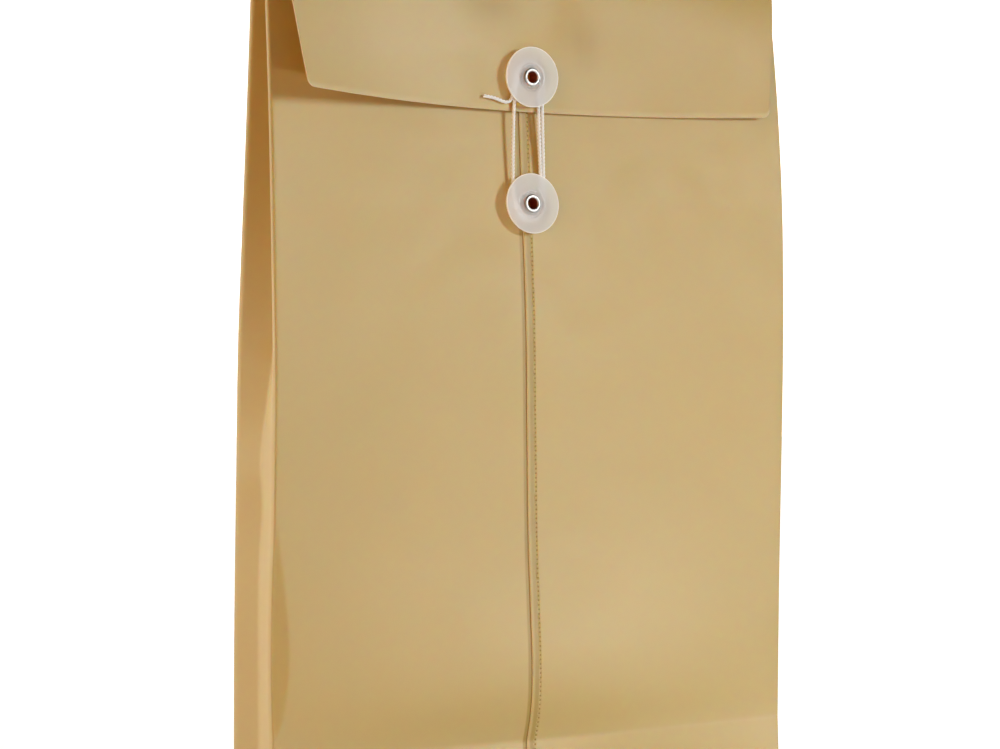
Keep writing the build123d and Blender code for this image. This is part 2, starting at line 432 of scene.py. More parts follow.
def mix_colours(tree, share, first, second):
    """Mix of two colours, each a socket or a colour."""
    made = tree.nodes.new("ShaderNodeMix")
    made.data_type = "RGBA"
    tree.links.new(share, made.inputs["Factor"])
    for name, colour in (("A", first), ("B", second)):
        socket = next(s for s in made.inputs if s.name == name and s.type == "RGBA")
        if isinstance(colour, tuple):
            socket.default_value = (*colour, 1)
        else:
            tree.links.new(colour, socket)
    return next(s for s in made.outputs if s.type == "RGBA")


def bump(tree, height, distance, strength, below=None):
    made = add_node(tree, "ShaderNodeBump", Strength=strength, Distance=distance)
    tree.links.new(height, made.inputs["Height"])
    if below is not None:
        tree.links.new(below, made.inputs["Normal"])
    return made.outputs["Normal"]


def sheet_material(name, dark, light, roughness, glow):
    """Satin sheet with faint mottling, a fine grain, creases whitened by folding, painted light where the
    crease attribute pales it, darker pressed places, and painted shade where the press attribute darkens it.
    """
    made, tree, shader = new_material(name)
    pale_and_painted_light = tuple((1 - whitening_and_painted_light) * c + whitening_and_painted_light * w for c, w in zip(light, white_of_creases_and_painted_light))
    pressed_and_painted_shade = tuple(c * share for c, share in zip(dark, press_and_shade_tint))
    colour = mix_colours(tree, noise(tree, scale=14, detail=3), dark, light)
    colour = mix_colours(tree, attribute(tree, "crease"), colour, pale_and_painted_light)
    colour = mix_colours(tree, attribute(tree, "press_and_painted_shade"), colour, pressed_and_painted_shade)
    satin = remap(tree, noise(tree, scale=60, detail=4), low=roughness - 0.05, high=roughness + 0.06)
    waves = bump(tree, noise(tree, scale=70, detail=2), distance=0.0004, strength=0.12)
    grain = bump(tree, noise(tree, scale=1900, detail=2), distance=0.00004, strength=0.25, below=waves)
    link_inputs(tree, shader, Base_Color=colour, Roughness=satin, Normal=grain)
    set_inputs(shader, IOR=1.49, Specular_IOR_Level=0.28, Subsurface_Weight=glow)
    set_inputs(shader, Subsurface_Radius=(1.0, 0.38, 0.10), Subsurface_Scale=0.0007)
    return made


def milky_material(name, dark, light, clear, cover):
    """Cloudy plastic: clear is the share that lets light through, cover how solid it looks."""
    made, tree, shader = new_material(name)
    cloudy = mix_colours(tree, noise(tree, scale=220, detail=3), dark, light)
    satin = remap(tree, noise(tree, scale=500, detail=3), low=0.34, high=0.46)
    grain = bump(tree, noise(tree, scale=1400, detail=2), distance=0.00003, strength=0.2)
    link_inputs(tree, shader, Base_Color=cloudy, Roughness=satin, Normal=grain)
    set_inputs(shader, IOR=1.4, Transmission_Weight=clear, Alpha=cover)
    return made


def metal_material(name, dark, light):
    made, tree, shader = new_material(name)
    crease_paling = mix_colours(tree, noise(tree, scale=900, detail=4), dark, light)
    satin = remap(tree, noise(tree, scale=1500, detail=4), low=0.30, high=0.46)
    grain = bump(tree, noise(tree, scale=2500, detail=3), distance=0.00003, strength=0.25)
    link_inputs(tree, shader, Base_Color=crease_paling, Roughness=satin, Normal=grain)
    set_inputs(shader, Metallic=1.0)
    return made


def cotton_material(name, dark, light):
    made, tree, shader = new_material(name)
    yarn = mix_colours(tree, noise(tree, scale=1600, detail=4), dark, light)
    fuzz = bump(tree, noise(tree, scale=4500, detail=3), distance=0.00008, strength=0.6)
    link_inputs(tree, shader, Base_Color=yarn, Normal=fuzz)
    set_inputs(shader, Roughness=0.9, Sheen_Weight=0.25)
    return made


def paper_material(name, dark, light, scale, roughness, glow):
    """Pale matt paper that glows, so that it stays white."""
    made, tree, shader = new_material(name)
    paper = mix_colours(tree, noise(tree, scale=scale, detail=2), (dark,) * 3, (light,) * 3)
    link_inputs(tree, shader, Base_Color=paper)
    set_inputs(shader, Roughness=roughness, Emission_Color=(1, 1, 1, 1), Emission_Strength=glow)
    return made


tan_sheet = sheet_material(
    "tan_polypropylene", (0.475, 0.340, 0.116), (0.515, 0.370, 0.133), roughness=0.42, glow=1.0
)
# Cut edges are drawn lighter, as a painted highlight where they catch light
cut_edge_highlight = sheet_material("cut_edge_highlight", (0.64, 0.50, 0.27), (0.70, 0.56, 0.32), roughness=0.55, glow=0.5)
weld_dent = sheet_material("weld_dents", (0.31, 0.20, 0.055), (0.36, 0.235, 0.07), roughness=0.6, glow=0.3)
milky_plastic = milky_material(
    "milky_plastic", (0.75, 0.765, 0.765), (0.80, 0.815, 0.815), clear=0.7, cover=0.84
)
# Painted highlight on the disc's rim, for light that the rim catches
milky_rim_highlight = milky_material("milky_rim_highlight", (0.94, 0.91, 0.87), (0.98, 0.95, 0.92), clear=0.2, cover=1.0)
nickel = metal_material("nickel_plate", (0.21, 0.20, 0.19), (0.34, 0.325, 0.31))
# Inside of the eyelets' bores, tinted red-brown
red_brown_bore = metal_material("red_brown_bore", (0.50, 0.17, 0.10), (0.60, 0.23, 0.14))
cotton = cotton_material("cotton_string", (0.78, 0.755, 0.735), (0.93, 0.915, 0.91))
floor_paper = paper_material("pale_floor", 0.93, 0.96, scale=3, roughness=0.9, glow=floor_glow)
wall_paper = paper_material("pale_wall", 0.94, 0.97, scale=2, roughness=0.95, glow=wall_glow)


# Mesh helpers


def add_object(name, data):
    made = bpy.data.objects.new(name, data)
    bpy.context.scene.collection.objects.link(made)
    return made


def finish_mesh(bm, name, materials, sharp_angle=50):
    """Piece from a bmesh in mm."""
    bmesh.ops.recalc_face_normals(bm, faces=bm.faces)
    if bm.calc_volume(signed=True) < 0:
        bmesh.ops.reverse_faces(bm, faces=bm.faces)
    bmesh.ops.scale(bm, vec=(MM, MM, MM), verts=bm.verts)
    mesh = bpy.data.meshes.new(name)
    bm.to_mesh(mesh)
    bm.free()
    mesh.polygons.foreach_set("use_smooth", [True] * len(mesh.polygons))
    mesh.set_sharp_from_angle(angle=math.radians(sharp_angle))
    for material in materials:
        mesh.materials.append(material)
    return add_object(name, mesh)


def grid_normals(points, outward):
    """Unit normals of a grid of points, on the side that outward points to."""
    along_rows = np.gradient(points, axis=0)
    along_columns = np.gradient(points, axis=1)
    normals = np.cross(along_rows, along_columns)
    normals /= np.linalg.norm(normals, axis=2, keepdims=True)
    if np.mean(normals @ np.array(outward, float)) < 0:
        normals = -normals
    return normals


def sheet_piece(name, outer, outward, cut, crease=None):
    """Closed sheet from a grid of points on its outer face, with rounded edges on its cut sides.

    The sides are the first and last row and the first and last column. Crease says how much each point
    is paled, by folding and by painted light.
    """
    rows, columns, _ = outer.shape
    inner = outer - sheet * grid_normals(outer, outward)
    if crease is None:
        crease = np.zeros((rows, columns))
    bm = bmesh.new()
    mark = bm.verts.layers.float.new("crease")
    layers = []
    for face in (outer, inner):
        grid = [[bm.verts.new(face[r, c]) for c in range(columns)] for r in range(rows)]
        for r in range(rows):
            for c in range(columns):
                grid[r][c][mark] = crease[r, c]
        layers.append(grid)
    for grid in layers:
        for r in range(rows - 1):
            for c in range(columns - 1):
                bm.faces.new((grid[r][c], grid[r][c + 1], grid[r + 1][c + 1], grid[r + 1][c]))
    sides = {
        "first_row": [(0, c) for c in range(columns)],
        "last_column": [(r, columns - 1) for r in range(rows)],
        "last_row": [(rows - 1, c) for c in range(columns - 1, -1, -1)],
        "first_column": [(r, 0) for r in range(rows - 1, -1, -1)],
    }
    top, low = layers
    for side, line in sides.items():
        for (r, c), (s, d) in zip(line, line[1:]):
            wall = bm.faces.new((top[r][c], top[s][d], low[s][d], low[r][c]))
            wall.material_index = 1 if side in cut else 0
    bmesh.ops.recalc_face_normals(bm, faces=bm.faces)
    rim = [e for e in bm.edges if {f.material_index for f in e.link_faces} == {0, 1}]
    bmesh.ops.bevel(bm, geom=rim, offset=rim_round, segments=2, profile=0.5, affect="EDGES", material=1)
    return finish_mesh(bm, name, (tan_sheet, cut_edge_highlight))


def carve(piece, cutter):
    """Takes the cutter's shape out of a piece, with the cutter's material in the cuts."""
    modifier = piece.modifiers.new("carve", "BOOLEAN")
    modifier.operation = "DIFFERENCE"
    modifier.solver = "MANIFOLD"
    modifier.material_mode = "TRANSFER"
    modifier.object = cutter
    graph = bpy.context.evaluated_depsgraph_get()
    carved = bpy.data.meshes.new_from_object(piece.evaluated_get(graph))
    piece.modifiers.clear()
    old = piece.data
    piece.data = carved
    carved.name = old.name
    bpy.data.meshes.remove(old)
    bpy.data.objects.remove(cutter)


def on_axis(at, axis):
    """Matrix that puts a piece's Z on an axis, in mm."""
    turn = Vector(axis).to_track_quat("Z", "Y").to_matrix().to_4x4()
    return Matrix.Translation(Vector(at)) @ turn


def hole_cutter(at, axis):
    bm = bmesh.new()
    bmesh.ops.create_cone(
        bm, cap_ends=True, segments=hole_sides, radius1=hole_radius, radius2=hole_radius, depth=hub_height * 2
    )
    bmesh.ops.transform(bm, matrix=on_axis(at, axis), verts=bm.verts)
    return finish_mesh(bm, "hole_cutter", (cut_edge_highlight,))


def evenly(start, end, step):
    return np.linspace(start, end, max(2, round(abs(end - start) / step) + 1))


def through(stations, at):
    """Smooth curve through (place, value) stations."""
    places, values = np.array(stations, float).T
    slopes = np.gradient(values, places)
    i = np.clip(np.searchsorted(places, at) - 1, 0, len(places) - 2)
    run = places[i + 1] - places[i]
    t = np.clip((at - places[i]) / run, 0, 1)
    rest = 1 - t
    return (
        (1 + 2 * t) * rest**2 * values[i]
        + t * rest**2 * run * slopes[i]
        + t**2 * (1 + 2 * rest) * values[i + 1]
        - t**2 * rest * run * slopes[i + 1]
    )


def ramp(value, start, end):
    """Smooth step from 0 at start to 1 at end."""
    t = np.clip((value - start) / (end - start), 0, 1)
    return t**2 * (3 - 2 * t)


def curve_corner(before, corner, after, reach, count):
    """Points that round a corner of a section, with reach along both runs or half of a shorter one."""
    start = corner + (before - corner) * min(0.5, reach / np.linalg.norm(before - corner))
    end = corner + (after - corner) * min(0.5, reach / np.linalg.norm(after - corner))
    return [(1 - t) ** 2 * start + 2 * t * (1 - t) * corner + t**2 * end for t in np.linspace(0, 1, count)]


def strand_tube(bm, line, radius, sides):
    """Closed tube along a line of points, in mm."""
    tangents = np.gradient(line, axis=0)
    tangents /= np.linalg.norm(tangents, axis=1, keepdims=True)
    normal = np.cross(tangents[0], tube_side)
    rings = []
    for point, tangent in zip(line, tangents):
        normal = normal - tangent * (normal @ tangent)
        normal /= np.linalg.norm(normal)
        side = np.cross(tangent, normal)
        rings.append(
            [
                bm.verts.new(point + radius * (math.cos(a) * normal + math.sin(a) * side))
                for a in np.linspace(0, 2 * math.pi, sides, endpoint=False)
            ]
        )
    for ring, following in zip(rings, rings[1:]):
        for i in range(sides):
            j = (i + 1) % sides
            bm.faces.new((ring[i], ring[j], following[j], following[i]))
    for ring in (rings[0], rings[-1]):
        bm.faces.new(ring)


# Panels


def ripple(x, z):
    """Faint unevenness of the sheet, in mm."""
    return sum(height * np.sin(x / along + z / up + start) for height, along, up, start in ripples)


def edge_turn():
    """Steps round a rolled edge: how far each is short of the edge, and how far behind the face."""
    turn = np.linspace(0, math.pi / 2, roll_steps)[1:]
    return edge_roll * (1 - np.sin(turn)), edge_roll * (1 - np.cos(turn))


def front_reach(x, z):
    """How far the front's outer face stands out of the middle plane, in mm."""
    share = np.abs(x) / half_width
    edge = np.where(x < 0, through(left_edge, z), through(right_edge, z))
    centre = through(middle, z)
    reach = centre + (edge - centre) * share ** np.where(x < 0, 2, right_flatness)
    off = np.hypot(z - crease_height - crease_tilt * x, crease_round) - crease_round
    left_depth = crease_left_depth + (crease_depth - crease_left_depth) * (1 - share**2)
    right_fall = np.exp(-((x / crease_right_run) ** 2))
    right_depth = crease_right_depth + (crease_depth - crease_right_depth) * right_fall
    reach = reach - np.where(x < 0, left_depth, right_depth) * np.exp(-off / crease_spread)
    span = np.clip((z - dent_low) / (dent_high - dent_low), 0, 1)
    inside = dent_width * np.sin(math.pi * span**dent_skew) - (x + half_width)
    return reach - dent_slope * (np.hypot(inside, dent_soft) + inside) / 2 + dent_slope * dent_soft / 2


def front_point(x, z, shift):
    """Y of the front's outer face, set back by shift, in mm."""
    calm = np.clip((lip_height - z) / calm_top, 0, 1) * np.clip((half_width - np.abs(x)) / calm_side, 0, 1)
    return -front_reach(x, z) - calm * ripple(x, z) + shift


def front_half(name, columns, side, shift):
    """One half of the front, rolled back at its outer edge."""
    fine_rows = evenly(foot, fine_rows_top, fine_row_step)
    rows = np.concatenate([fine_rows, evenly(fine_rows_top, lip_height, row_step)[1:]])
    short, behind = edge_turn()
    x = np.concatenate([columns, side * (half_width - short)])
    back = np.concatenate([np.zeros(len(columns)), behind])
    grid_x, grid_z = np.meshgrid(x, rows)
    flat_x = np.clip(grid_x, -half_width + edge_roll, half_width - edge_roll)
    grid_y = front_point(flat_x, grid_z, shift) + back
    points = np.stack([grid_x, grid_y, grid_z], axis=2)
    folds = np.where(back > 0, fold_pale, 0.0)[None, :] * np.ones((len(rows), 1))
    off = grid_z - crease_height - crease_tilt * grid_x
    # Paler band below the bottom crease and a pale line along it
    crease_paling = crease_band_pale * np.exp(-np.maximum(off, 0) / crease_band_reach)
    crease_paling = crease_paling + crease_line * np.exp(-((off / crease_line_width) ** 2))
    folds = np.maximum(folds, crease_paling)
    made = sheet_piece(name, points, (0, -1, 0), ("last_row", "first_column"), folds)
    carve(made, hole_cutter(lower_at, lower_axis))
    return made


def weld_cutter():
    """A row of small balls that press the weld's dimples."""
    ball = (weld_radius**2 + weld_depth**2) / (2 * weld_depth)
    x = lap_edge + weld_inset
    bm = bmesh.new()
    for z in np.arange(weld_low, lip_height - weld_low, weld_pitch):
        if np.hypot(z - lower_at[2], x - lower_at[0]) < hub_radius:
            continue
        y = front_point(x, z, 0) - ball + weld_depth
        bmesh.ops.create_icosphere(bm, subdivisions=2, radius=ball, matrix=Matrix.Translation((x, y, z)))
    return finish_mesh(bm, "weld_cutter", (weld_dent,))


def paint_press_and_shade(piece, share_at):
    """Darkens a piece by share_at(x, z), where its sheet was pressed, and where shade or shadow is painted.
    """
    pressed_and_painted_shade = piece.data.attributes.new("press_and_painted_shade", "FLOAT", "POINT")
    x, _, z = in_mm([v.co[:] for v in piece.data.vertices]).T
    pressed_and_painted_shade.data.foreach_set("value", share_at(x, z))


def beside_weld(x, z):
    """Share of the browner band between the lap's edge and the weld."""
    off = x - lap_edge
    return np.where((off > press_start) & (off < press_end), press_share, 0.0)


def painted_lap_shadow(x, z):
    """Share of the painted shadow along the lap's edge."""
    off = lap_edge - x
    return np.where((off > -lap_shade_width) & (off < lap_shade_width), lap_shade, 0.0)


def painted_dent_shade(x, z):
    """Share of the painted shade in the flap's soft spots."""
    return sum(
        share * np.exp(-(((x - at_x) / wide) ** 2) - ((z - at_z) / high) ** 2)
        for at_x, at_z, wide, high, share in flap_shade_spots
    )


def build_front():
    near_lap = lap_edge + np.array(lap_columns)
    near_dent = -half_width + dent_columns
    left_columns = np.concatenate(
        [
            evenly(lap_edge + lap_width, near_lap[0], column_step),
            near_lap[1:-1],
            evenly(near_lap[-1], near_dent, column_step),
            evenly(near_dent, -half_width + edge_roll, dent_column_step)[1:],
        ]
    )
    weld = lap_edge + weld_inset
    right_columns = np.concatenate(
        [
            [lap_edge],
            weld + np.array(weld_columns),
            evenly(weld + weld_clear, half_width - edge_roll, column_step),
        ]
    )
    left = front_half("front_sheet_left", left_columns, -1, lap_gap)
    right = front_half("front_sheet_right", right_columns, 1, 0)
    carve(right, weld_cutter())
    paint_press_and_shade(right, beside_weld)
    paint_press_and_shade(left, painted_lap_shadow)
    for piece, node in ((left, "front_panel_left"), (right, "front_panel_right")):
        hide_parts(node)
        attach(piece, "front")


def back_tree():
    """The CAD's back panel, for rays."""
    node = frame["nodes"]["back_panel"]
    mesh = node.data
    return BVHTree.FromPolygons([v.co[:] for v in mesh.vertices], [p.vertices[:] for p in mesh.polygons])


back_surface = back_tree()


def back_face(z):
    """Y of the back's outer face at a height, in mm."""
    start = Vector((back_probe_x * MM, 1, min(z, hinge[2] - back_probe_below) * MM))
    hit = back_surface.ray_cast(start, Vector((0, -1, 0)))
    return hit[0].y / MM


def back_bend(x, z):
    """How far the back bends forwards near its side edges, in mm."""
    return through(back_edge_bend, z) * np.exp((np.abs(x) - half_width) / bend_reach)


def build_back():
    rows = evenly(foot, hinge[2] - bead_radius, row_step)
    short, tuck = edge_turn()
    rolled = half_width - short
    flat = evenly(-half_width + edge_roll, half_width - edge_roll, column_step)
    x = np.concatenate([-rolled[::-1], flat, rolled])
    forward = np.concatenate([tuck[::-1], np.zeros(len(flat)), tuck])
    grid_x, grid_z = np.meshgrid(x, rows)
    line = np.array([back_face(z) for z in rows])[:, None]
    calm = np.clip((hinge[2] - grid_z) / calm_top, 0, 1) * np.clip((grid_z - foot) / calm_foot, 0, 1)
    calm = calm * np.clip((half_width - np.abs(grid_x)) / calm_side, 0, 1)
    uneven = ripple(grid_x + back_ripple_shift, grid_z)
    grid_y = line - forward[None, :] - back_bend(grid_x, grid_z) + calm * uneven
    points = np.stack([grid_x, grid_y, grid_z], axis=2)
    folds = np.where(forward > 0, fold_pale, 0.0)[None, :] * np.ones((len(rows), 1))
    made = sheet_piece("back_sheet", points, (0, 1, 0), (), folds)
    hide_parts("back_panel")
    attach(made, "pouch")


def gusset_section(side, z):
    """Outer line of a gusset at a height, from the back's edge to the front's."""
    back_edge = back_face(z) - edge_roll - back_bend(half_width, z)
    edge_x = side * half_width
    front_edge = front_point(side * (half_width - edge_roll), z, lap_gap if side < 0 else 0) + edge_roll
    centre = (back_edge + front_edge) / 2
    span = (back_edge - front_edge) / 2
    depth = math.sqrt(max(gusset_half**2 - span**2, least_valley**2))
    if side < 0 and z < valley[-1][0]:
        depth = through(valley, z)
    start = np.array([edge_x, back_edge])
    crease = np.array([side * (half_width - depth), centre])
    end = np.array([edge_x, front_edge])
    run = np.array([0, gusset_round])
    first = curve_corner(start, start - run, crease, gusset_round / 2, gusset_steps // 2)
    fold = curve_corner(start - run, crease, end + run, gusset_round, gusset_steps)
    last = curve_corner(crease, end + run, end, gusset_round / 2, gusset_steps // 2)
    shares = np.linspace(0, 1, gusset_run_steps)[1:-1]
    line = [start, *first]
    line += [first[-1] + (fold[0] - first[-1]) * t for t in shares]
    line += fold
    line += [fold[-1] + (last[0] - fold[-1]) * t for t in shares]
    line += [*last, end]
    return np.array(line)


def build_gusset(side, name, nodes):
    rows = evenly(foot + gusset_layers_below * sheet, lip_height, row_step)
    sections = [gusset_section(side, z) for z in rows]
    points = np.array([[(x, y, z) for x, y in line] for line, z in zip(sections, rows)])
    middle_column = points.shape[1] / 2
    columns = np.arange(points.shape[1])
    fold = gusset_fold_pale * np.exp(-(((columns - middle_column) / gusset_fold_width) ** 2))
    # Pale fold line, and painted light on the lower gusset
    pale_and_painted_light = fold[None, :] + gusset_painted_light * ramp(rows, gusset_painted_light_from, gusset_painted_light_to)[:, None]
    made = sheet_piece(name, points, (side, 0, 0), ("last_row",), pale_and_painted_light)
    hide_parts(*nodes)
    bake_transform(made)


# Flap


def flare(x):
    """How much further the flap's edge stands off at x than at the tie."""
    off = x - upper_at[0]
    if off < 0:
        return flap_left_flare * (off / (half_width + upper_at[0])) ** 2
    return flap_right_flare * (off / (half_width - upper_at[0])) ** 2


def front_line(z):
    """Y of the front's outer face in its middle at a height."""
    return -through(middle, z)


def flap_point(x, t):
    """Point of the flap's outer face at x, t of the way from crease to edge."""
    stand = flap_standoff + sheet
    end_z = flap_edge_height - flap_margin
    hold_z = flap_edge_height + flap_hold
    out = flare(x)
    controls = np.array(
        [
            (hinge[1], hinge[2] + sheet / 2),
            (-flap_crown_reach - crown_flare_share * out, hinge[2] + flap_crown_rise + sheet / 2),
            (front_line(hold_z) - stand - hold_flare_share * out - sheet, hold_z),
            (front_line(end_z) - stand - out, end_z),
        ]
    )
    shares = np.array(((1 - t) ** 3, 3 * t * (1 - t) ** 2, 3 * t**2 * (1 - t), t**3))
    return shares @ controls


def flap_share_at(x, z):
    """Share t at which the flap at x comes down to height z."""
    low, high = flap_search_from, 1.0
    for _ in range(flap_search_steps):
        t = (low + high) / 2
        low, high = (t, high) if flap_point(x, t)[1] > z else (low, t)
    return (low + high) / 2


def flap_edge(x, corner):
    """Height of the flap's lower edge at x, rounded at the corners."""
    sagitta = flap_bow * (x / corner) ** 2
    over = max(0.0, abs(x) - (corner - flap_corner))
    lift = flap_corner - math.sqrt(max(flap_corner**2 - over**2, 0))
    return flap_edge_height + sagitta + lift


def trough(x, z):
    """How far the flap sinks in above the tie, in mm."""
    rise = min(max((z - trough_low) / (trough_high - trough_low), 0), 1)
    off = x - trough_place
    off = off / (trough_left if off < 0 else trough_right)
    return trough_depth * rise**2 * (3 - 2 * rise) * math.exp(-(off**2))


def build_bead():
    """Round of the crease that the flap turns on."""
    bm = bmesh.new()
    ends = np.array([(-1.0, 0, 0), (1.0, 0, 0)]) * (half_width - edge_roll)
    line = hinge + np.linspace(ends[0], ends[1], bead_points)
    strand_tube(bm, line, bead_radius, bead_sides)
    made = finish_mesh(bm, "flap_crease", (tan_sheet,))
    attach(made, "pouch")


def build_flap():
    side = half_width - flap_side_inset
    corner = side - flap_taper
    end_turn = np.linspace(0, math.pi / 2, flap_corner_steps)[1:]
    ends = corner - flap_corner + flap_corner * np.sin(end_turn)
    flat = evenly(-(corner - flap_corner), corner - flap_corner, column_step)
    edge_x = np.concatenate([-ends[::-1], flat, ends])
    points = np.zeros((flap_rows, len(edge_x), 3))
    for c, low_x in enumerate(edge_x):
        end = flap_share_at(low_x, flap_edge(low_x, corner))
        for r, t in enumerate(np.linspace(0, end, flap_rows)):
            z = flap_point(low_x, t)[1]
            down = 0
            if t > flap_over_share:
                down = min(max((hinge[2] - z) / (hinge[2] - flap_edge_height), 0), 1)
            x = low_x * (1 + (side / corner - 1) * (1 - down))
            y, z = flap_point(x, t)
            begun = min(t * flap_calm_start, 1)
            calm = begun * min((1 - t) * flap_calm_end + flap_calm_least, 1)
            uneven = ripple(x * flap_ripple_scale[0], z * flap_ripple_scale[1] + flap_ripple_shift)
            points[r, c] = (x, y - calm * uneven + begun * trough(x, z), z)
    # Painted light on the flap's left end, and a painted highlight along its cut edges
    pale_and_painted_light = flap_painted_light * ramp(points[:, :, 0], flap_painted_light_from, flap_painted_light_to)
    pale_and_painted_light[-1, :] = flap_edge_painted_highlight
    pale_and_painted_light[:, (0, -1)] = flap_edge_painted_highlight
    made = sheet_piece("flap_sheet", points, (0, -1, 0.2), ("last_row", "first_column", "last_column"), pale_and_painted_light)
    carve(made, hole_cutter(upper_at, upper_axis))
    # Painted shade in soft spots of the flap
    paint_press_and_shade(made, painted_dent_shade)
    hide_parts("flap")
    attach(made, "closure_flap")


# Buttons


def rounded(outline, corners, radius, steps=5):
    """Outline of (radius, height) points with some corners rounded."""
    made = []
    for i, point in enumerate(outline):
        point = np.array(point, float)
        before = np.array(outline[i - 1], float)
        after = np.array(outline[(i + 1) % len(outline)], float)
        if i not in corners:
            made.append(point)
            continue
        made += curve_corner(before, point, after, radius, steps)
    return made


def turned(name, at, axis, outline, materials, banded):
    """A ring turned about an axis from a closed outline of (radius, height) points.

    Faces between two radii for which banded is true take the second material.
    """
    bm = bmesh.new()
    rings = []
    for angle in np.linspace(0, 2 * math.pi, turn_steps, endpoint=False):
        rings.append([bm.verts.new((r * math.cos(angle), r * math.sin(angle), h)) for r, h in outline])
    for ring, following in zip(rings, rings[1:] + rings[:1]):
        for i in range(len(outline)):
            j = (i + 1) % len(outline)
            face = bm.faces.new((ring[i], ring[j], following[j], following[i]))
            if banded(outline[i][0], outline[j][0]):
                face.material_index = 1
    bmesh.ops.transform(bm, matrix=on_axis(at, axis), verts=bm.verts)
    return finish_mesh(bm, name, materials)


def disc_outline():
    bore = barrel_radius + running_gap
    top = hub_height + disc_thickness
    outline = [
        (bore, hub_clearance),
        (hub_radius, hub_clearance),
        (hub_radius, hub_height),
        (disc_radius, hub_height + disc_dish),
        (disc_radius, top + disc_dish),
        *((hub_radius + out, top + rise) for out, rise in disc_collar),
        (bore, top),
    ]
    return rounded(outline, (1, 2, 3, 4, 5, 6, 7), disc_edge)


def eyelet_outline(grip):
    head = hub_height + disc_thickness + running_gap
    back = -grip - layer_gap - washer_thickness - layer_gap
    outline = [
        (eyelet_bore, back - clench),
        (clench_radius, back - clench),
        (clench_radius, back),
        (barrel_radius, back),
        (barrel_radius, head),
        (eyelet_head_radius, head),
        (eyelet_head_radius, head + eyelet_head),
        (eyelet_bore, head + eyelet_head),
    ]
    return rounded(outline, (0, 1, 2, 5, 6, 7), eyelet_round, eyelet_round_steps)


def washer_outline(grip):
    top = -grip - layer_gap
    outline = [
        (hole_radius, top - washer_thickness),
        (washer_radius, top - washer_thickness),
        (washer_radius, top),
        (hole_radius, top),
    ]
    return rounded(outline, (1, 2), washer_round)


def on_rim_highlight(first, second):
    return min(first, second) > disc_radius - rim_highlight_band


def in_bore(first, second):
    return max(first, second) < eyelet_bore + bore_band


def build_button(place, at, axis, grip, carrier):
    pieces = [
        ("button_disc", disc_outline(), (milky_plastic, milky_rim_highlight), on_rim_highlight, f"{place}_button", "disc"),
        ("eyelet", eyelet_outline(grip), (nickel, red_brown_bore), in_bore, carrier, "eyelet"),
        ("backing_washer", washer_outline(grip), (milky_plastic, milky_rim_highlight), on_rim_highlight, carrier, "washer"),
    ]
    for kind, outline, materials, banded, body, slot in pieces:
        node = f"{place}_{kind}"
        made = turned(f"{node}_turned", at, axis, outline, materials, banded)
        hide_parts(node)
        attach(made, body)


# String


def winding_points():
    """Control points of the string, in mm: a tie and two turns round both hubs, and a tail."""
    low = lower_at + lower_axis * hub_height / 2
    high = upper_at + upper_axis * hub_height / 2
    up = high - low
    spacing = np.linalg.norm(up)
    up /= spacing
    right = np.array([1.0, 0.0, 0.0])
    flat = []

    def arc(centre, radius, start, end):
        count = max(2, round(abs(end - start) / (math.pi / arc_steps)))
        stretch = 1 / math.cos((end - start) / count / 2)
        for angle in np.linspace(start, end, count + 1):
            flat.append((radius * stretch * math.cos(angle), centre + radius * stretch * math.sin(angle), 0))

    def run(places, going_up):
        heights = (edge_run, spacing - edge_run)
        for x, height in zip(places, heights if going_up else heights[::-1]):
            flat.append((x, height, 0))

    arc(0, inner_turn, math.pi / 2, 2 * math.pi)
    run(inner_right_run, True)
    arc(spacing, inner_turn, 0, math.pi)
    run(left_run, False)
    arc(0, outer_turn, math.pi, 2 * math.pi)
    run(outer_right_run, True)
    arc(spacing, outer_turn, 0, math.pi)
    flat.extend((x, spacing + height, lift) for x, height, lift in tail)
    return [low + right * x + up * y + upper_axis * lift for x, y, lift in flat]


def spline_points(points):
    """Points in metres along a smooth spline with these control points."""
    curve = bpy.data.curves.new("route", "CURVE")
    curve.dimensions = "3D"
    curve.resolution_u = 12
    spline = curve.splines.new("NURBS")
    spline.points.add(len(points) - 1)
    for control, point in zip(spline.points, points):
        control.co = (*(np.array(point) * MM), 1)
    spline.order_u = 3
    spline.use_endpoint_u = True
    holder = add_object("route", curve)
    mesh = bpy.data.meshes.new_from_object(holder)
    found = [v.co.copy() for v in mesh.vertices]
    bpy.data.meshes.remove(mesh)
    bpy.data.objects.remove(holder)
    bpy.data.curves.remove(curve)
    return found


def even_points(points, step):
    """Points a steady step apart along a line, in mm."""
    line = np.array([p[:] for p in points]) / MM
    lengths = np.concatenate([[0], np.cumsum(np.linalg.norm(np.diff(line, axis=0), axis=1))])
    at = np.linspace(0, lengths[-1], round(lengths[-1] / step) + 1)
    return np.stack([np.interp(at, lengths, line[:, i]) for i in range(3)], axis=1), at


def build_knot():
    """Small overhand knot that ties the string round the lower hub."""
    knot_low, knot_high = (in_mm(corner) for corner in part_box("string_knot"))
    middle_point = (knot_low + knot_high) / 2
    turn = np.linspace(0, 2 * math.pi, knot_points)
    waves, rounds = knot_loops
    ring, swell, rise = knot_loop_size
    out = ring + swell * np.cos(waves * turn)
    loop = np.stack(
        [out * np.cos(rounds * turn), rise * np.sin(waves * turn), out * np.sin(rounds * turn)],
        axis=1,
    )
    loop = loop / np.array([ring + swell, rise, ring + swell])
    half = (knot_high - knot_low) / 2 - knot_strand
    bm = bmesh.new()
    strand_tube(bm, middle_point + loop * half, knot_strand, strand_sides)
    made = finish_mesh(bm, "tie_string_knot", (cotton,), strand_sharp_angle)
    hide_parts("string_knot")
    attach(made, "front")
    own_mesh(made)
    return made


